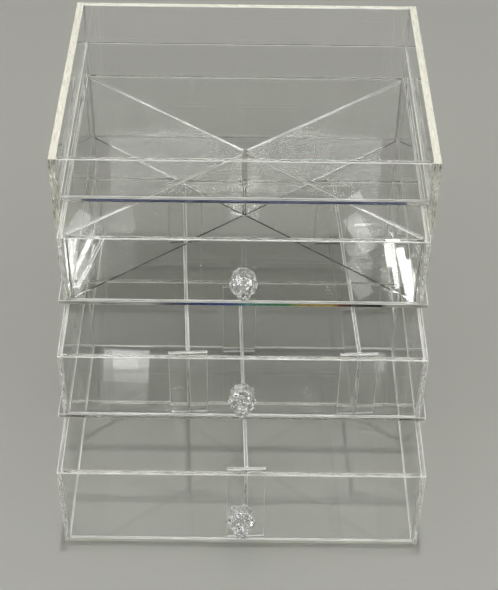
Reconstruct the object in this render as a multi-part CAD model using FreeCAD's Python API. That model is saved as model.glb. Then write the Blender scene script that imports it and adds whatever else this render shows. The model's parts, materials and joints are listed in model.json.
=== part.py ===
import FreeCAD, Part
import math
import os

# A clear acrylic cosmetics organiser: a case with an open tray on top and three drawers below.
# The origin is the middle of the case's underside, X runs across, +Z is up, and the drawers
# pull out towards -Y. Every length is in millimetres. The pieces stand where they are at rest,
# which is with each drawer drawn out by its own "drawn_out".

# Sheets that the pieces are cut from
side_sheet = 6.0
back_sheet = 5.0
panel_sheet = 4.0
divider_sheet = 3.0

# Case
case_width = 300.0
case_depth = 232.0
tray_depth = 37.0

# Drawers, from the base up. The headroom is the gap over the drawer's walls.
drawer_width = 284.0
drawer_depth = 222.0
drawers = {
    "bottom": {"height": 84.0, "headroom": 2.0, "drawn_out": 154.0, "flanged": False},
    "middle": {"height": 68.0, "headroom": 3.0, "drawn_out": 98.0, "flanged": True},
    "top": {"height": 68.0, "headroom": 2.0, "drawn_out": 42.0, "flanged": True},
}

# The floors of the upper two drawers stand out past their walls and slide in milled grooves.
flange_reach = 4.5
groove_depth = 3.0
groove_height = 4.5
groove_end_room = 1.0

# Knobs: a round foot against the drawer front, a waist, and a faceted head. They are glued on a
# little below the middle of the drawer's height.
knob_below_middle = 2.2
knob_foot_radius = 9.5
knob_foot_thickness = 1.8
knob_waist_radius = 5.2
knob_waist_start = 3.4
knob_facets = 10
knob_head_rings = [
    {"reach": 4.6, "radius": 6.4},
    {"reach": 10.4, "radius": 11.6},
    {"reach": 16.8, "radius": 9.0},
    {"reach": 23.6, "radius": 4.6},
]

# Dividers. "across" is the middle of the divider and "skew" its turn about Z, in degrees.
divider_length = 211.0
divider_plate_width = 30.0
dividers = {
    "bottom_divider": {"drawer": "bottom", "across": 0.0, "skew": 2.0},
    "middle_left_divider": {"drawer": "middle", "across": -48.2, "skew": 3.3},
    "middle_right_divider": {"drawer": "middle", "across": 84.2, "skew": 3.0},
}
cross_divider_play = 0.5
cross_slot_play = 0.2

# Worked out from the sizes above
case_front = -case_depth / 2
case_back = case_depth / 2
inner_half_width = case_width / 2 - side_sheet
drawer_half_width = drawer_width / 2
drawer_inner_half_width = drawer_half_width - panel_sheet
drawer_inner_depth = drawer_depth - 2 * panel_sheet
drawer_stack = sum(d["height"] + d["headroom"] for d in drawers.values())
tray_floor_top = panel_sheet + drawer_stack + panel_sheet
case_height = tray_floor_top + tray_depth


def block(low, high):
    """A box between two opposite corners."""
    size = [high[i] - low[i] for i in range(3)]
    return Part.makeBox(size[0], size[1], size[2], FreeCAD.Vector(*low))


def save(name, shape):
    shape.exportStep("parts/%s.step" % name)


def drawer_base_height(name):
    """Height of the drawer's underside, found by adding up the drawers below it."""
    height = panel_sheet
    for key, drawer in drawers.items():
        if key == name:
            return height
        height += drawer["height"] + drawer["headroom"]


def drawer_front(name):
    return case_front - drawers[name]["drawn_out"]


def groove(base_height):
    """The cutter for one groove of the right side panel, open at the front, round at the back."""
    radius = groove_height / 2
    end = case_front + drawer_depth + groove_end_room
    start = inner_half_width
    bottom = inner_half_width + groove_depth
    slot = block((start, case_front, base_height), (bottom, end, base_height + groove_height))
    centre = FreeCAD.Vector(start, end, base_height + radius)
    round_end = Part.makeCylinder(radius, groove_depth, centre, FreeCAD.Vector(1, 0, 0))
    return slot.fuse(round_end).removeSplitter()


def mirrored(shape):
    return shape.mirror(FreeCAD.Vector(0, 0, 0), FreeCAD.Vector(1, 0, 0))


def right_side_panel():
    low = (inner_half_width, case_front, 0)
    high = (case_width / 2, case_back, case_height)
    panel = block(low, high)
    for name, drawer in drawers.items():
        if drawer["flanged"]:
            panel = panel.cut(groove(drawer_base_height(name)))
    return panel


def make_case():
    right = right_side_panel()
    save("right_side_panel", right)
    save("left_side_panel", mirrored(right))

    half = inner_half_width
    back_face = case_back - back_sheet
    save("back_panel", block((-half, back_face, 0), (half, case_back, case_height)))
    save("base_panel", block((-half, case_front, 0), (half, back_face, panel_sheet)))

    tray_floor_low = (-half, case_front, tray_floor_top - panel_sheet)
    save("tray_floor", block(tray_floor_low, (half, back_face, tray_floor_top)))
    rail_low = (-half, case_front, tray_floor_top)
    save("tray_front_rail", block(rail_low, (half, case_front + panel_sheet, case_height)))


def knob_foot():
    """The foot and waist, turned about Z from a half section."""
    waist_end = knob_head_rings[0]["reach"]
    section = [
        (0, 0),
        (knob_foot_radius, 0),
        (knob_foot_radius, knob_foot_thickness),
        (knob_waist_radius, knob_waist_start),
        (knob_waist_radius, waist_end),
        (0, waist_end),
        (0, 0),
    ]
    outline = Part.makePolygon([FreeCAD.Vector(radius, 0, reach) for radius, reach in section])
    return Part.Face(outline).revolve(FreeCAD.Vector(0, 0, 0), FreeCAD.Vector(0, 0, 1), 360)


def ring_points(ring, half_turned):
    """The corners of one ring of the head. Every other ring is turned by half a facet."""
    step = 2 * math.pi / knob_facets
    start = step / 2 if half_turned else 0
    points = []
    for i in range(knob_facets):
        angle = start + i * step
        x = ring["radius"] * math.cos(angle)
        y = ring["radius"] * math.sin(angle)
        points.append(FreeCAD.Vector(x, y, ring["reach"]))
    return points


def flat_face(points):
    return Part.Face(Part.makePolygon(points + [points[0]]))


def knob_head():
    """A cut-crystal head: triangles between rings of corners, closed by two flat polygons."""
    rings = [ring_points(ring, i % 2 == 1) for i, ring in enumerate(knob_head_rings)]
    faces = [flat_face(rings[0]), flat_face(rings[-1])]
    for level in range(len(rings) - 1):
        lower = rings[level]
        upper = rings[level + 1]
        for i in range(knob_facets):
            after = (i + 1) % knob_facets
            if level % 2 == 0:
                faces.append(flat_face([lower[i], lower[after], upper[i]]))
                faces.append(flat_face([upper[i], lower[after], upper[after]]))
            else:
                faces.append(flat_face([lower[i], upper[after], upper[i]]))
                faces.append(flat_face([lower[i], lower[after], upper[after]]))
    head = Part.Solid(Part.makeShell(faces))
    if head.Volume < 0:
        head.reverse()
    return head


def make_knob(name):
    """The knob turned to point out of the front, at its place on the drawer."""
    knob = knob_foot().fuse(knob_head()).removeSplitter()
    knob.rotate(FreeCAD.Vector(0, 0, 0), FreeCAD.Vector(1, 0, 0), 90)
    height = drawer_base_height(name) + drawers[name]["height"] / 2 - knob_below_middle
    knob.translate(FreeCAD.Vector(0, drawer_front(name), height))
    save("%s_drawer_knob" % name, knob.Solids[0])


def make_drawer(name):
    """Side walls run the full depth, with the front and the back held between them."""
    drawer = drawers[name]
    flanged = drawer["flanged"]
    low = drawer_base_height(name)
    floor_top = low + panel_sheet
    top = low + drawer["height"]
    front = drawer_front(name)
    back = front + drawer_depth
    inner = drawer_inner_half_width
    outer = drawer_half_width

    # A flanged floor runs under the walls and past them. A plain one fits between the walls.
    floor_half = outer + flange_reach if flanged else inner
    wall_low = floor_top if flanged else low
    save("%s_drawer_floor" % name, block((-floor_half, front, low), (floor_half, back, floor_top)))

    wall = block((inner, front, wall_low), (outer, back, top))
    save("%s_drawer_right_wall" % name, wall)
    save("%s_drawer_left_wall" % name, mirrored(wall))

    front_panel = block((-inner, front, floor_top), (inner, front + panel_sheet, top))
    save("%s_drawer_front" % name, front_panel)
    back_panel = block((-inner, back - panel_sheet, floor_top), (inner, back, top))
    save("%s_drawer_back" % name, back_panel)
    make_knob(name)


def make_divider(name):
    """A web with a plate across each end, standing on the drawer's floor."""
    divider = dividers[name]
    drawer = drawers[divider["drawer"]]
    low = drawer_base_height(divider["drawer"]) + panel_sheet
    height = drawer["height"] - panel_sheet
    half_length = divider_length / 2
    half_web = divider_sheet / 2
    half_plate = divider_plate_width / 2
    web_end = half_length - divider_sheet

    pieces = {
        "web": block((-half_web, -web_end, 0), (half_web, web_end, height)),
        "front_plate": block((-half_plate, -half_length, 0), (half_plate, -web_end, height)),
        "back_plate": block((-half_plate, web_end, 0), (half_plate, half_length, height)),
    }
    middle = drawer_front(divider["drawer"]) + drawer_depth / 2
    for piece, shape in pieces.items():
        shape.rotate(FreeCAD.Vector(0, 0, 0), FreeCAD.Vector(0, 0, 1), divider["skew"])
        shape.translate(FreeCAD.Vector(divider["across"], middle, low))
        save("%s_%s" % (name, piece), shape)


def cross_half_length(angle):
    """Half the length of a sheet whose square ends just clear the drawer's four walls."""
    half_sheet = divider_sheet / 2
    room_x = drawer_inner_half_width - cross_divider_play - half_sheet * math.sin(angle)
    room_y = drawer_inner_depth / 2 - cross_divider_play - half_sheet * math.cos(angle)
    return min(room_x / math.cos(angle), room_y / math.sin(angle))


def make_cross_divider():
    """Two sheets from corner to corner of the top drawer, half-lapped where they cross."""
    angle = math.atan2(drawer_inner_depth, 2 * drawer_inner_half_width)
    half_length = cross_half_length(angle)
    half_sheet = divider_sheet / 2
    height = drawers["top"]["height"] - panel_sheet
    low = drawer_base_height("top") + panel_sheet
    middle = drawer_front("top") + drawer_depth / 2

    # The other sheet crosses at twice the angle, so its slot is wider than its thickness.
    crossing = 2 * angle
    slot_width = divider_sheet * (1 + math.cos(crossing)) / math.sin(crossing)
    half_slot = slot_width / 2 + cross_slot_play
    sheet = block((-half_length, -half_sheet, 0), (half_length, half_sheet, height))
    lower_slot = block((-half_slot, -half_sheet, 0), (half_slot, half_sheet, height / 2))
    upper_slot = block((-half_slot, -half_sheet, height / 2), (half_slot, half_sheet, height))
    layout = [
        ("cross_divider_slotted_below", lower_slot, math.degrees(angle)),
        ("cross_divider_slotted_above", upper_slot, -math.degrees(angle)),
    ]
    for name, slot, turn in layout:
        piece = sheet.cut(slot)
        piece.rotate(FreeCAD.Vector(0, 0, 0), FreeCAD.Vector(0, 0, 1), turn)
        piece.translate(FreeCAD.Vector(0, middle, low))
        save(name, piece.Solids[0])


os.makedirs("parts", exist_ok=True)
make_case()
for drawer_name in drawers:
    make_drawer(drawer_name)
for divider_name in dividers:
    make_divider(divider_name)
make_cross_divider()
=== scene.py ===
import json
import math

import bmesh
import bpy
import numpy as np
from mathutils import Matrix, Quaternion, Vector


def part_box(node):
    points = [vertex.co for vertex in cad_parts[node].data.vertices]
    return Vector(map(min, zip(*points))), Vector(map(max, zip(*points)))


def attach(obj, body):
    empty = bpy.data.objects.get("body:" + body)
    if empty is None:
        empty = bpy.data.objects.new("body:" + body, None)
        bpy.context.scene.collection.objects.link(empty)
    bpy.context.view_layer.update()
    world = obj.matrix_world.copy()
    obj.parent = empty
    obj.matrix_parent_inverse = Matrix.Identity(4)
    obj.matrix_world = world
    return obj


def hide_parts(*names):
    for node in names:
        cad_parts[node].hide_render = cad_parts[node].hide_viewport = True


# A clear acrylic organiser. Each CAD node gives way to a piece of the same shape, cut from clear
# plastic, with a finish of its own on every kind of edge and a narrow bevel where edges are eased.
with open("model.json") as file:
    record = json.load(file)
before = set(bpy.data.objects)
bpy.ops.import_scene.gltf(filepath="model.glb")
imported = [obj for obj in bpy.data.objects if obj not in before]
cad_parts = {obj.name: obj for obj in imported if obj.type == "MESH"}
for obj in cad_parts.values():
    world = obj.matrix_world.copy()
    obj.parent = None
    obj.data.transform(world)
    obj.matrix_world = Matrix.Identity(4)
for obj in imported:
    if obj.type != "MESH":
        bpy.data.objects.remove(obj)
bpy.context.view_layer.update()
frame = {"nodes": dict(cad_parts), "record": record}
cadNodes = frame["nodes"]
bodyMembers = frame["record"]["behaviour"]["bodies"]
bodyOfNode = {node: body for body, members in bodyMembers.items() for node in members}
mm = 0.001


camera = {
    "place": (0.377, -946.209, 890.995),  # mm, in front of the case and above it
    "downward": 42.3243,  # degrees below the horizon
    "turn": 0.2877,  # degrees towards +X
    "roll": -0.8311,  # degrees
    "focalLength": 82.79,  # mm, on the sensor's width
    "sensor": 36,
    "nearest": 0.01,  # m, and the farthest that it sees
    "farthest": 100,
}


# The camera looks along forward, with right and below turned about it by the roll.
def placeCamera(spec):
    tilt, turn, roll = (math.radians(spec[key]) for key in ("downward", "turn", "roll"))
    ahead, aside = math.cos(turn), math.sin(turn)
    forward = Vector((aside * math.cos(tilt), ahead * math.cos(tilt), -math.sin(tilt)))
    right = Vector((ahead, -aside, 0))
    below = forward.cross(right)
    rolledRight = right * math.cos(roll) + below * math.sin(roll)
    rolledBelow = below * math.cos(roll) - right * math.sin(roll)
    lens = bpy.data.cameras.new("viewCamera")
    lens.lens = spec["focalLength"]
    lens.sensor_width = spec["sensor"]
    lens.clip_start = spec["nearest"]
    lens.clip_end = spec["farthest"]
    viewer = bpy.data.objects.new("viewCamera", lens)
    bpy.context.scene.collection.objects.link(viewer)
    axes = Matrix((rolledRight, -rolledBelow, -forward)).transposed().to_4x4()
    axes.translation = Vector(spec["place"]) * mm
    viewer.matrix_world = axes
    bpy.context.scene.camera = viewer


placeCamera(camera)
print("camera placed")


# Puts a node in a tree, sets its plain inputs, and links the inputs that are given as sockets.
def addNode(tree, kind, settings=None, **inputs):
    node = tree.nodes.new(kind)
    for key, value in (settings or {}).items():
        setattr(node, key, value)
    for key, value in inputs.items():
        socket = node.inputs[key.replace("_", " ")]
        if isinstance(value, bpy.types.NodeSocket):
            tree.links.new(value, socket)
        else:
            socket.default_value = value
    return node


# Maps a texture value from its own low..high to the wanted low..high, and clamps it there.
def spread(tree, value, low, high, toLow, toHigh):
    node = addNode(tree, "ShaderNodeMapRange", {"clamp": True}, Value=value)
    node.inputs["From Min"].default_value = low
    node.inputs["From Max"].default_value = high
    node.inputs["To Min"].default_value = toLow
    node.inputs["To Max"].default_value = toHigh
    return node.outputs["Result"]


# A colour ramp, from pairs of a position and a colour.
def colourRamp(tree, value, stops):
    ramp = addNode(tree, "ShaderNodeValToRGB", Fac=value)
    elements = ramp.color_ramp.elements
    for index, (position, colour) in enumerate(stops):
        stop = elements[index] if index < 2 else elements.new(position)
        stop.position = position
        stop.color = (*colour, 1)
    return ramp.outputs["Color"]


noiseRange = (0.33, 0.67)  # where nearly all of a noise pattern's values lie


# Sets a socket to one number where the range has no width, and otherwise lets a pattern drive it.
def setOrSpread(tree, socket, pattern, low, high):
    if low == high:
        socket.default_value = low
    else:
        tree.links.new(spread(tree, pattern, *noiseRange, low, high), socket)


# Clear plastic lets rays from lamps and from matt surfaces run straight on, weakened by "shade".
def letLightThrough(tree, shader, shade):
    path = addNode(tree, "ShaderNodeLightPath")
    veil = addNode(tree, "ShaderNodeBsdfTransparent", Color=(*shade, 1))
    for ray in ("Is Diffuse Ray", "Is Shadow Ray"):
        mix = addNode(tree, "ShaderNodeMixShader")
        tree.links.new(path.outputs[ray], mix.inputs[0])
        tree.links.new(shader, mix.inputs[1])
        tree.links.new(veil.outputs[0], mix.inputs[2])
        shader = mix.outputs[0]
    return shader


# One dictionary per finish. "clear" is the share of light that goes through and "rough" the
# roughness, low and high over the surface. "specks" are spots on a surface that is clear elsewhere:
# dust on the sheets, and painted glints on the knob. "grain" is the size of the pattern that drives
# the rest, in mm along and across, on Object coordinates or on UV, where U runs along an edge and V
# across the sheet. "spectrum" is painted light: the colour along X, in mm, standing in for the
# rainbow and the dark reflections that an edge shows as a prism. "wave" is the height of its bumps
# in mm, and "shade" is what each crossing leaves of a lamp: more on a standing sheet, whose
# reflections put most of the rest back on the floor beside it.
dust = {"spacing": 14, "size": 0.35, "clear": 0.15}  # mm, and the share of light through a speck
# Colours of the light painted along two edges: a painted rainbow and a painted dark reflection.
cream, navy, black = (0.97, 0.965, 0.88), (0.03, 0.04, 0.14), (0.05, 0.05, 0.04)
blue, teal, green = (0.03, 0.06, 0.4), (0.08, 0.4, 0.35), (0.08, 0.4, 0.12)
amber, rainbowRed = (0.9, 0.6, 0.12), (0.35, 0.06, 0.03)
acrylicFinishes = {
    "caseFace": {
        "colour": (0.985, 0.987, 0.98), "specksAndPaintedGlints": dust, "rough": (0.0, 0.0),
        "follows": "Object", "grain": (70, 70), "wave": 0.003, "shade": (0.83, 0.832, 0.825),
    },
    "lyingFace": {
        "colour": (0.985, 0.987, 0.98), "specksAndPaintedGlints": dust, "rough": (0.0, 0.0),
        "follows": "Object", "grain": (70, 70), "wave": 0.003, "shade": (0.945, 0.947, 0.939),
    },
    "standingFace": {
        "colour": (0.985, 0.987, 0.98), "specksAndPaintedGlints": dust, "rough": (0.0, 0.0),
        "follows": "Object", "grain": (70, 70), "wave": 0.003, "shade": (0.965, 0.967, 0.96),
    },
    "polishedEdge": {
        "colour": (0.985, 0.985, 0.965), "clear": (1.0, 1.0), "rough": (0.0, 0.03),
        "follows": "UV", "grain": (30, 2), "wave": 0.004, "shade": (0.1, 0.1, 0.1),
    },
    "thinEdge": {
        "colour": (0.985, 0.985, 0.965), "clear": (1.0, 1.0), "rough": (0.0, 0.03),
        "follows": "UV", "grain": (30, 2), "wave": 0.004, "shade": (0.9, 0.9, 0.88),
    },
    # The tray floor's front edge: its colour along X is a painted reflection, a navy band where the
    # edge shows the dark room behind it, cream towards its ends.
    "paintedReflectionEdge": {
        "clear": (1.0, 1.0), "rough": (0.0, 0.03),
        "follows": "UV", "grain": (30, 2), "wave": 0.004, "shade": (0.35, 0.355, 0.36),
        "paintedSpectrum": ((-128, cream), (-126, navy), (126, navy), (128, cream)),
    },
    # The top drawer floor's front edge: its colour along X is a painted rainbow, the colours and dark
    # bits that the edge throws as a prism.
    "paintedSpectrumEdge": {
        "clear": (0.4, 0.8), "rough": (0.0, 0.1),
        "follows": "UV", "grain": (30, 2), "wave": 0.004, "shade": (0.35, 0.355, 0.36),
        "paintedSpectrum": ((-120, cream), (-76, cream), (-54, navy), (-10, blue), (2, teal), (34, green),
                     (50, amber), (70, amber), (76, rainbowRed), (88, black), (108, black), (114, cream)),
    },
    "sawnEdge": {
        "colour": (0.84, 0.82, 0.7), "clear": (0.0, 0.4), "rough": (0.2, 0.4),
        "follows": "UV", "grain": (16, 2.2), "wave": 0.03, "shade": (0.05, 0.05, 0.05),
    },
    "rippledEdge": {
        "colour": (0.98, 0.98, 0.93), "clear": (0.35, 0.95), "rough": (0.0, 0.08),
        "follows": "UV", "grain": (7, 1.5), "wave": 0.12, "shade": (0.5, 0.5, 0.48),
    },
    "gluedEdge": {
        "colour": (0.97, 0.965, 0.92), "clear": (0.5, 0.9), "rough": (0.0, 0.1),
        "follows": "UV", "grain": (20, 2), "wave": 0.01, "shade": (0.5, 0.5, 0.48),
    },
    "creamEdge": {
        "colour": (0.97, 0.965, 0.86), "clear": (0.0, 0.4), "rough": (0.1, 0.2),
        "follows": "UV", "grain": (40, 2), "wave": 0.01, "shade": (0.6, 0.6, 0.57),
    },
    "scrapedEdge": {
        "colour": (0.97, 0.97, 0.94), "clear": (0.5, 0.85), "rough": (0.0, 0.1),
        "follows": "UV", "grain": (80, 1.0), "wave": 0.01, "shade": (0.4, 0.4, 0.39),
    },
    "arris": {
        "colour": (0.97, 0.965, 0.91), "clear": (0.0, 0.3), "rough": (0.1, 0.2),
        "follows": "Object", "grain": (24, 24), "wave": 0, "shade": (0.6, 0.6, 0.58),
    },
}


speckCore = 0.7  # the share of a speck's radius inside its soft rim
acrylicBends = 1.49  # the index of refraction


# Specks are the surface's cuts through small balls, one in each cell of a Voronoi pattern. On the
# sheets they are dust; on the knob they are painted glints, white spots that let less light through.
def specksAndPaintedGlintsOver(tree, place, specksAndPaintedGlints):
    cells = addNode(tree, "ShaderNodeTexVoronoi", Vector=place, Scale=1 / (specksAndPaintedGlints["spacing"] * mm))
    radius = specksAndPaintedGlints["size"] / specksAndPaintedGlints["spacing"]
    distance = cells.outputs["Distance"]
    return spread(tree, distance, radius * speckCore, radius, specksAndPaintedGlints["clear"], 1.0)


# The colour along X, which paints light onto an edge: a painted rainbow on one edge and a painted
# dark reflection on another. The ramp reaches as far to the left of the middle as to the right.
def colourAlong(tree, place, stops):
    reach = max(abs(x) for x, colour in stops)
    across = addNode(tree, "ShaderNodeSeparateXYZ", Vector=place).outputs["X"]
    position = spread(tree, across, -reach * mm, reach * mm, 0.0, 1.0)
    return colourRamp(tree, position, [((x / reach + 1) / 2, colour) for x, colour in stops])


def acrylic(name, finish):
    material = bpy.data.materials.new(name)
    material.use_nodes = True
    tree = material.node_tree
    tree.nodes.clear()
    places = addNode(tree, "ShaderNodeTexCoord").outputs
    along, across = (1 / (size * mm) for size in finish["grain"])
    stretched = addNode(tree, "ShaderNodeMapping", Vector=places[finish["follows"]])
    stretched.inputs["Scale"].default_value = (along, across, along)
    grain = addNode(tree, "ShaderNodeTexNoise", Vector=stretched.outputs[0], Scale=1.0, Detail=2.0)
    plastic = addNode(tree, "ShaderNodeBsdfPrincipled")
    plastic.inputs["IOR"].default_value = finish.get("bends", acrylicBends)
    # Painted light: the colours along X stand in for what the edge shows of the room as a prism.
    if "paintedSpectrum" in finish:
        paintedEdgeLight = colourAlong(tree, places["Object"], finish["paintedSpectrum"])
        tree.links.new(paintedEdgeLight, plastic.inputs["Base Color"])
    else:
        plastic.inputs["Base Color"].default_value = (*finish["colour"], 1)
    pattern = grain.outputs["Fac"]
    # Where the specks are painted glints, as on the knob, they let no light through and show as white
    # spots.
    if "specksAndPaintedGlints" in finish:
        clear = specksAndPaintedGlintsOver(tree, places["Object"], finish["specksAndPaintedGlints"])
        tree.links.new(clear, plastic.inputs["Transmission Weight"])
    else:
        setOrSpread(tree, plastic.inputs["Transmission Weight"], pattern, *finish["clear"])
    setOrSpread(tree, plastic.inputs["Roughness"], pattern, *finish["rough"])
    if finish["wave"]:
        height = finish["wave"] * mm
        bump = addNode(tree, "ShaderNodeBump", Height=pattern, Strength=1.0, Distance=height)
        tree.links.new(bump.outputs["Normal"], plastic.inputs["Normal"])
    shader = letLightThrough(tree, plastic.outputs[0], finish["shade"])
    addNode(tree, "ShaderNodeOutputMaterial", Surface=shader)
    return material


acrylicMaterials = {name: acrylic(name, finish) for name, finish in acrylicFinishes.items()}
finishOrder = list(acrylicMaterials)
print("acrylic finishes mixed:", len(finishOrder))


sheet = {
    "clearance": 0.04,  # mm taken off all round, so that sheets that touch don't share a face
    "arris": 0.6,  # mm, the width of the narrow bevel along an eased edge
    "arrisSteps": 2,
    "easedAbove": 40,  # degrees between two faces, above which their edge is eased
    "tolerance": 0.1,  # mm
}
sideNames = (("left", "right"), ("front", "back"), ("bottom", "top"))


# One row of numbers for each vertex, face or corner of a mesh.
def readRows(items, key, width, kind=float):
    values = np.empty(len(items) * width, dtype=kind)
    items.foreach_get(key, values)
    return values.reshape(-1, width)


# The three directions of a sheet: along it, across it and through its thickness. Its largest
# triangle lies on a broad face, and that triangle's normal is the direction through the sheet.
def sheetAxes(node):
    mesh = cadNodes[node].data
    mesh.calc_loop_triangles()
    points = readRows(mesh.vertices, "co", 3)
    corners = points[readRows(mesh.loop_triangles, "vertices", 3, int)]
    normals = np.cross(corners[:, 1] - corners[:, 0], corners[:, 2] - corners[:, 0])
    largest = normals[np.linalg.norm(normals, axis=1).argmax()]
    through = largest / np.linalg.norm(largest)
    along = np.cross((0, 0, 1), through) if abs(through[2]) < 0.5 else np.array((1.0, 0, 0))
    along /= np.linalg.norm(along)
    axes = np.array((along, np.cross(through, along), through))
    axes *= np.sign(axes[range(3), np.abs(axes).argmax(axis=1)])[:, None]
    return points @ axes.T, axes


# The levels at which a sheet has corners, from the lowest to the highest, in one direction.
def levelsOf(values):
    return np.unique(np.round(values, 5))


# The outline of a sheet as a loop of corners: a rectangle, with a slot in its top or its bottom
# edge where the node has one. Everything is drawn in by the clearance.
def outlineOf(points, gap):
    left, *slot, right = levelsOf(points[:, 0])
    low, *middle, high = levelsOf(points[:, 1])
    left, right, low, high = left + gap, right - gap, low + gap, high - gap
    bottomEdge, topEdge = [(left, low), (right, low)], [(right, high), (left, high)]
    if slot:
        start, end, depth = slot[0] - gap, slot[1] + gap, middle[0]
        opensBelow = np.isclose(points[:, 1], points[:, 1].min()) & np.isclose(points[:, 0], slot[0])
        if opensBelow.any():
            bottomEdge[1:1] = [(start, low), (start, depth + gap), (end, depth + gap), (end, low)]
        else:
            topEdge[1:1] = [(end, high), (end, depth - gap), (start, depth - gap), (start, high)]
    return np.array(bottomEdge + topEdge)


# The faces between rings of points, and a cap at each end of the row of rings.
def facesOfRings(rings, count):
    ring = np.arange(count)
    after = (ring + 1) % count
    starts = np.arange(rings - 1)[:, None] * count
    here, beside = starts + ring, starts + after
    strips = np.stack((here, beside, beside + count, here + count), axis=2)
    return [ring.tolist(), (ring + count * (rings - 1)).tolist()] + strips.reshape(-1, 4).tolist()


# A sheet is its outline carried through its thickness, P(u, v) = outline(u) + v * through, with a
# flat cap at each end.
def flatSheet(node):
    points, axes = sheetAxes(node)
    gap = sheet["clearance"] * mm
    outline = outlineOf(points, gap)
    ends = np.array((points[:, 2].min() + gap, points[:, 2].max() - gap))
    rim = (outline @ axes[:2])[None] + ends[:, None, None] * axes[2]
    return rim.reshape(-1, 3), facesOfRings(2, len(outline)), axes


sidePanel = {
    "grooveDepth": 3.0,  # mm, into the inner face
    "grooveHeight": 4.5,
    "endRoom": 1.0,  # mm from the shut drawer's floor to the middle of the groove's round end
    "endSteps": 10,
}


# A side panel is an upright section carried back along the case. The section is a rectangle with a
# notch for each groove: P(u, v) = section(u, w(v)), where the notch's half height w stays whole to
# the groove's end and then falls as the cosine of a quarter turn, which makes the round end.
def groovedSheet(node):
    axes = sheetAxes(node)[1]
    gap = sheet["clearance"] * mm
    low, high = (Vector(corner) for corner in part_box(node))
    hand = math.copysign(1, low.x + high.x)
    outer = hand * (max(abs(low.x), abs(high.x)) - gap)
    inner = hand * (min(abs(low.x), abs(high.x)) + gap)
    half = sidePanel["grooveHeight"] * mm / 2
    lowerFloor, upperFloor = (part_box(name + "_drawer_floor") for name in ("middle", "top"))
    lower, upper = lowerFloor[0].z + half, upperFloor[0].z + half
    end = low.y + (lowerFloor[1].y - lowerFloor[0].y) + sidePanel["endRoom"] * mm
    quarter = np.linspace(0, math.pi / 2, sidePanel["endSteps"] + 1)
    along = np.concatenate(((low.y + gap,), end + half * np.sin(quarter), (end + half, high.y - gap)))
    width = np.concatenate(((half,), half * np.cos(quarter), (0, 0)))
    inGroove = np.arange(len(along)) < len(along) - 2
    depth = inGroove * hand * (sidePanel["grooveDepth"] * mm - gap)
    floor, roof = low.z + gap, high.z - gap
    across = np.array((outer, *[inner] * 10, outer))
    inBed = np.array((0, 0, 0, 1, 1, 0, 0, 1, 1, 0, 0, 0))
    level = np.array((floor, floor, *[lower] * 4, *[upper] * 4, roof, roof))
    side = np.array((0, 0, -1, -1, 1, 1, -1, -1, 1, 1, 0, 0))
    x = across + depth[:, None] * inBed
    z = level + width[:, None] * side
    points = np.stack((x, along[:, None] + 0 * x, z), axis=2)
    return points.reshape(-1, 3), facesOfRings(len(along), len(across)), axes


sameSpot = 1e-7  # m, within which two points are one


def closedMesh(name, points, faces):
    mesh = bpy.data.meshes.new(name)
    mesh.from_pydata(points.tolist(), [], faces)
    work = bmesh.new()
    work.from_mesh(mesh)
    bmesh.ops.remove_doubles(work, verts=work.verts, dist=sameSpot)
    bmesh.ops.dissolve_degenerate(work, edges=work.edges, dist=sameSpot)
    bmesh.ops.recalc_face_normals(work, faces=work.faces)
    work.to_mesh(mesh)
    work.free()
    return mesh


# Every face takes the finish of the side of the sheet that it lies on. A face that isn't on the
# sheet's outside is the wall of a slot or a groove. Returns each face's normal and side.
def finishFaces(mesh, axes, finishes):
    points = readRows(mesh.vertices, "co", 3) @ axes.T
    normals = readRows(mesh.polygons, "normal", 3) @ axes.T
    centres = readRows(mesh.polygons, "center", 3) @ axes.T
    face = np.arange(len(normals))
    axis = np.abs(normals).argmax(axis=1)
    end = (normals[face, axis] > 0).astype(int)
    outermost = np.array((points.min(axis=0), points.max(axis=0)))[end, axis]
    outside = np.abs(centres[face, axis] - outermost) < sheet["tolerance"] * mm
    names = [sideNames[np.abs(direction).argmax()] for direction in axes[:2]]
    sideFinish = [[finishes.get(name, "polishedEdge") for name in pair] for pair in names]
    lying = finishes.get("broad", "lyingFace")
    sideFinish.append([lying if abs(axes[2, 2]) > 0.5 else "standingFace"] * 2)
    index = np.array([[finishOrder.index(finish) for finish in pair] for pair in sideFinish])
    for finish in finishOrder:
        mesh.materials.append(acrylicMaterials[finish])
    wall = finishOrder.index("sawnEdge")
    mesh.polygons.foreach_set("material_index", np.where(outside, index[axis, end], wall))

    # U runs along an edge and V through the sheet. On a broad face they run along and across it.
    corner = points[readRows(mesh.loops, "vertex_index", 1, int)[:, 0]]
    cornerAxis = np.repeat(axis, readRows(mesh.polygons, "loop_total", 1, int)[:, 0])
    run = np.where(cornerAxis == 0, corner[:, 1], corner[:, 0])
    rise = np.where(cornerAxis == 2, corner[:, 1], corner[:, 2])
    mesh.uv_layers.new(name="run").data.foreach_set("uv", np.stack((run, rise), axis=1).ravel())
    seated = outside & (end == 0) & (np.array([names[0][0], names[1][0], ""])[axis] == "bottom")
    return normals, seated


# An edge is eased where its two faces meet at a sharp angle. The mesh is closed, so each edge has
# two corners, one in each face. A sheet that only stands on another keeps its lower edges square.
def easeEdges(mesh, normals, seated):
    order = np.argsort(readRows(mesh.loops, "edge_index", 1, int)[:, 0], kind="stable")
    corners = readRows(mesh.polygons, "loop_total", 1, int)[:, 0]
    faceOfCorner = np.repeat(np.arange(len(normals)), corners)
    pair = faceOfCorner[order].reshape(-1, 2)
    cosine = (normals[pair[:, 0]] * normals[pair[:, 1]]).sum(axis=1)
    eased = (cosine < math.cos(math.radians(sheet["easedAbove"]))) & ~seated[pair].any(axis=1)
    weights = mesh.attributes.new("bevel_weight_edge", "FLOAT", "EDGE")
    weights.data.foreach_set("value", eased.astype(np.float32))


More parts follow.
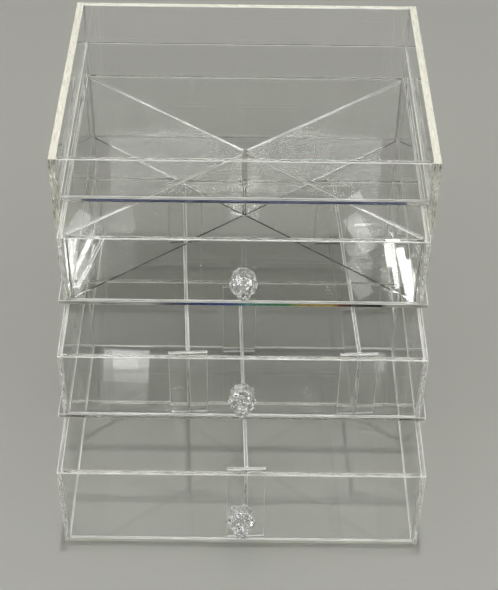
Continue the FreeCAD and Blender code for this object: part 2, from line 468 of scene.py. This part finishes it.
def addPiece(node, mesh):
    piece = bpy.data.objects.new(mesh.name, mesh)
    bpy.context.scene.collection.objects.link(piece)
    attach(piece, bodyOfNode[node])
    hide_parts(node)
    return piece


def addSheet(node, finishes):
    build = groovedSheet if node.endswith("side_panel") else flatSheet
    points, faces, axes = build(node)
    mesh = closedMesh(node + "_sheet", points, faces)
    normals, seated = finishFaces(mesh, axes, finishes)
    easeEdges(mesh, normals, seated & ("divider" in node))
    piece = addPiece(node, mesh)
    bevel = piece.modifiers.new("arris", "BEVEL")
    bevel.width = sheet["arris"] * mm
    bevel.segments = sheet["arrisSteps"]
    bevel.limit_method = "WEIGHT"
    bevel.material = finishOrder.index("arris")
    return piece


# The finish of the edges, by the end of a node's name. Edges that aren't named are polished.
glued = {"left": "gluedEdge", "right": "gluedEdge"}
edgeFinishes = {
    "side_panel": {"front": "rippledEdge", "back": "sawnEdge", "top": "sawnEdge", "bottom": "sawnEdge"},
    "back_panel": {**glued, "top": "sawnEdge", "bottom": "sawnEdge"},
    "base_panel": {**glued, "back": "gluedEdge", "broad": "caseFace"},
    "tray_floor": {**glued, "front": "paintedReflectionEdge", "back": "gluedEdge", "broad": "caseFace"},
    "tray_front_rail": {**glued, "bottom": "gluedEdge"},
    "bottom_drawer_floor": {**glued, "front": "creamEdge"},
    "top_drawer_floor": {"front": "paintedSpectrumEdge"},
    "middle_drawer_floor": {},
    "wall": {"front": "rippledEdge", "bottom": "gluedEdge"},
    "bottom_drawer_front": {**glued, "bottom": "gluedEdge", "top": "thinEdge"},
    "drawer_front": {**glued, "bottom": "gluedEdge"},
    "drawer_back": {**glued, "bottom": "gluedEdge"},
    "web": {"front": "gluedEdge", "back": "gluedEdge", "top": "scrapedEdge"},
    "plate": {"top": "scrapedEdge"},
    "cross_divider_slotted_below": {"top": "scrapedEdge"},
    "cross_divider_slotted_above": {"top": "scrapedEdge"},
}


for node in cadNodes:
    ending = next((ending for ending in edgeFinishes if node.endswith(ending)), None)
    if ending is not None:
        addSheet(node, edgeFinishes[ending])
print("sheets cut")


knob = {
    "facets": 10,  # round the head
    # How far each ring of the foot and waist stands out of the drawer's front, and its radius, in mm
    "footRings": ((0, 9.5), (1.8, 9.5), (3.4, 5.2), (4.5, 5.2)),
    # The same for the head, whose rings are cut into facets, every other one turned by half a facet
    "headRings": ((4.6, 6.2), (7.4, 8.8), (10.4, 11.6), (12.6, 10.0), (16.6, 7.8), (20.4, 5.9),
                  (23.56, 4.6)),
    "back": 0.04,  # mm left between the foot and the drawer's front
    "rim": 0.45,  # mm, the width of the frosted bevel round the foot
    "rimAbove": 50,  # degrees between two faces, above which their edge is part of a rim
    "facetBevel": 0.15,  # mm, the width of the rounding between two facets
    "facetAbove": 8,  # degrees between two facets, above which their edge is rounded
    "bevelSteps": 3,
}


# The knob is rings of points carried outwards, P(u, v) = centre + r(u, v) * (cos v, sin v) + reach(u).
# A ring has two points for each facet. On a ring of the head every other point is a corner, and the
# points between lie on the straight line from corner to corner, at r * cos(pi / facets).
def knobRings(spec):
    facets = spec["facets"]
    foot, head = np.array(spec["footRings"]), np.array(spec["headRings"])
    inCorner = (np.arange(facets * 2)[None] + np.arange(len(head))[:, None]) % 2 == 0
    flattened = np.where(inCorner, 1, math.cos(math.pi / facets)) * head[:, 1:]
    radius = np.concatenate((np.repeat(foot[:, 1:], facets * 2, axis=1), flattened)) * mm
    reach = np.concatenate((foot[:, :1], head[:, :1])) * mm
    reach[0] = spec["back"] * mm
    angle = np.arange(facets * 2) * math.pi / facets
    return np.stack((radius * np.cos(angle), -reach + 0 * radius, radius * np.sin(angle)), axis=2)


# The foot's cells are quads. Each cell of the head is split along the line that joins its two
# corners of facets, so that the facets stay flat.
def knobFaces(spec, rings, count):
    around = np.arange(count)
    faces = []
    for level in range(rings - 1):
        here, there = around + level * count, around + (level + 1) * count
        nextHere, nextThere = np.roll(here, -1), np.roll(there, -1)
        headLevel = level - len(spec["footRings"])
        if headLevel < 0:
            faces += np.stack((here, nextHere, nextThere, there), axis=1).tolist()
        else:
            rising = (around + headLevel) % 2 == 0
            faces += np.stack((here, nextHere, np.where(rising, nextThere, there)), axis=1).tolist()
            faces += np.stack((np.where(rising, here, nextHere), nextThere, there), axis=1).tolist()
    return faces + [around.tolist(), (around + (rings - 1) * count).tolist()]


crystalFinish = {
    "colour": (0.985, 0.99, 0.98), "rough": (0.0, 0.015),
    "follows": "Object", "grain": (5, 5), "wave": 0, "shade": (0.85, 0.86, 0.85),
    # The knob's specks are painted glints: opaque white spots in the crystal that stand in for lamps
    # sparkling in its facets.
    "specksAndPaintedGlints": {"spacing": 3.2, "size": 1.0, "clear": 0.0},  # glints
    "bends": 1.6,  # the index of refraction, which is higher than the sheet's 1.49
}
crystal = acrylic("crystal", crystalFinish)


def addKnob(node):
    low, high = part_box(node)
    middle = np.array(((low.x + high.x) / 2, high.y, (low.z + high.z) / 2))
    rings = knobRings(knob) + middle
    mesh = closedMesh(node + "_crystal", rings.reshape(-1, 3), knobFaces(knob, *rings.shape[:2]))
    mesh.polygons.foreach_set("use_smooth", np.ones(len(mesh.polygons), dtype=bool))
    mesh.materials.append(crystal)
    mesh.materials.append(acrylicMaterials["arris"])
    piece = addPiece(node, mesh)
    # The rim takes the second material, which is frosted.
    for name, above, slot in (("rim", "rimAbove", 1), ("facetBevel", "facetAbove", 0)):
        bevel = piece.modifiers.new(name, "BEVEL")
        bevel.limit_method = "ANGLE"
        bevel.angle_limit = math.radians(knob[above])
        bevel.width = knob[name] * mm
        bevel.segments = knob["bevelSteps"]
        bevel.harden_normals = True
        bevel.material = slot


for node in cadNodes:
    if node.endswith("knob"):
        addKnob(node)
print("knobs cut")


floor = {
    "half": 12.0,  # m, from the middle to a side
    "below": 0.3,  # mm under the case
    "colour": (0.37, 0.37, 0.335),
    "roughness": 0.6,
}


def addFloor(spec):
    half, height = spec["half"], -spec["below"] * mm
    mesh = bpy.data.meshes.new("studioFloor")
    corners = [(x * half, y * half, height) for x, y in ((-1, -1), (1, -1), (1, 1), (-1, 1))]
    mesh.from_pydata(corners, [], [(0, 1, 2, 3)])
    plane = bpy.data.objects.new("studioFloor", mesh)
    bpy.context.scene.collection.objects.link(plane)
    material = bpy.data.materials.new("studioFloor")
    material.use_nodes = True
    surface = material.node_tree.nodes["Principled BSDF"]
    surface.inputs["Base Color"].default_value = (*spec["colour"], 1)
    surface.inputs["Roughness"].default_value = spec["roughness"]
    mesh.materials.append(material)


studio = {
    # The sine of the height over the horizon, and how bright the room is there, straight back
    "sky": ((0.0, 0.3), (0.5, 0.25), (0.56, 0.15), (0.59, 0.02), (0.676, 0.02), (0.682, 0.5),
            (0.72, 0.5), (0.76, 0.8), (0.82, 1.0), (1.0, 0.3)),
    "skyColour": (1.0, 0.998, 0.985),
    # The room dims towards the front: where it starts and ends, as a share of straight back, and
    # how bright it stays
    "unlit": (0.0, 0.5, 0.15),
    "centre": (0, -50, 120),  # mm, where the lamps point
    # A ray meets up to thirty sheets, and bounces to and fro inside them.
    "bounces": {"all": 64, "mirrored": 64, "through": 64, "matt": 3, "veils": 96},
    # Each lamp is a soft box: degrees right of straight back, one for each copy of it, degrees up,
    # distance, width and height in m, turn on its own axis in degrees, and watts. It shows in
    # reflections unless "shows" is False. The narrow ones far away are the windows that the drawers'
    # floors mirror.
    "lamps": {
        "ceiling": {"turns": (0,), "up": 88.9, "far": 3, "size": (0.05, 0.05),
                    "roll": 0, "power": 36, "shows": False},
        "frontHigh": {"turns": (95, 120, 145, 215, 240, 265), "up": 66, "far": 3, "size": (0.45, 0.45),
                      "roll": 0, "power": 3.9},
        "frontLow": {"turns": (100, 118, 136, 224, 242, 260), "up": 34, "far": 3, "size": (0.45, 0.45),
                     "roll": 0, "power": 5.7},
        "side": {"turns": (40, 75, 285, 320), "up": 50, "far": 3, "size": (0.2, 0.2),
                 "roll": 0, "power": 2},
        "rightWindow": {"turns": (8.93,), "up": 40.49, "far": 12, "size": (0.126, 0.233),
                        "roll": 15, "power": 1},
        "rightWindowLow": {"turns": (9.41,), "up": 41.42, "far": 12, "size": (0.078, 0.254),
                           "roll": 17, "power": 0.68},
        "rightPane": {"turns": (-8.96,), "up": 41.06, "far": 200, "size": (1.19, 8.29),
                      "roll": -19, "power": 247},
        "rightPaneEdge": {"turns": (-9.25,), "up": 41.08, "far": 200, "size": (1.19, 5.01),
                          "roll": -21, "power": 149},
        "leftStreak": {"turns": (8.56, 8.66, 8.76), "up": 40.09, "far": 200, "size": (0.19, 6.05),
                       "roll": 31, "power": 22},
        "leftStreakHigh": {"turns": (-9.55, -9.37), "up": 41.09, "far": 12, "size": (0.013, 0.546),
                           "roll": -32, "power": 0.13},
        "leftStreakLow": {"turns": (8.86, 9.02), "up": 41.26, "far": 200, "size": (0.19, 3.882),
                          "roll": 35, "power": 14},
        "leftWindow": {"turns": (-7.18,), "up": 45.66, "far": 200, "size": (6.97, 8.39),
                       "roll": -7, "power": 110},
        "leftWindowTop": {"turns": (-7.01,), "up": 45.16, "far": 200, "size": (6.67, 4.86),
                          "roll": -6, "power": 102},
        "leftWindowCrest": {"turns": (-7.28,), "up": 44.87, "far": 200, "size": (5.04, 2.65),
                            "roll": -7, "power": 25},
        "rightBlind": {"turns": (7.55,), "up": 39.87, "far": 6.02, "size": (0.09, 0.21),
                       "roll": 37, "power": 0.15},
    },
}


def lightSky(spec):
    world = bpy.data.worlds.new("studio")
    bpy.context.scene.world = world
    world.use_nodes = True
    tree = world.node_tree
    tree.nodes.clear()
    direction = addNode(tree, "ShaderNodeTexCoord").outputs["Generated"]
    parts = addNode(tree, "ShaderNodeSeparateXYZ", Vector=direction).outputs
    low, high, dimmest = spec["unlit"]
    strength = spread(tree, parts["Y"], low, high, dimmest, 1.0)
    stops = [(sine, [channel * level for channel in spec["skyColour"]]) for sine, level in spec["sky"]]
    colour = colourRamp(tree, parts["Z"], stops)
    background = addNode(tree, "ShaderNodeBackground", Color=colour, Strength=strength)
    addNode(tree, "ShaderNodeOutputWorld", Surface=background.outputs[0])


def addLamp(name, lamp, turn, centre):
    side, up = math.radians(turn), math.radians(lamp["up"])
    away = Vector((math.sin(side) * math.cos(up), math.cos(side) * math.cos(up), math.sin(up)))
    light = bpy.data.lights.new(name, "AREA")
    light.shape = "RECTANGLE"
    light.size, light.size_y = lamp["size"]
    light.energy = lamp["power"]
    box = bpy.data.objects.new(name, light)
    bpy.context.scene.collection.objects.link(box)
    box.location = centre + away * lamp["far"]
    facing = away.to_track_quat("Z", "Y") @ Quaternion((0, 0, 1), math.radians(lamp["roll"]))
    box.rotation_euler = facing.to_euler()
    box.visible_glossy = box.visible_transmission = lamp.get("shows", True)


addFloor(floor)
lightSky(studio)
for name, lamp in studio["lamps"].items():
    for turn in lamp["turns"]:
        addLamp(name, lamp, turn, Vector(studio["centre"]) * mm)
scene = bpy.context.scene
scene.view_settings.view_transform = "Standard"
scene.cycles.max_bounces = studio["bounces"]["all"]
scene.cycles.transmission_bounces = studio["bounces"]["through"]
scene.cycles.glossy_bounces = studio["bounces"]["mirrored"]
scene.cycles.diffuse_bounces = studio["bounces"]["matt"]
scene.cycles.transparent_max_bounces = studio["bounces"]["veils"]
print("studio lit")
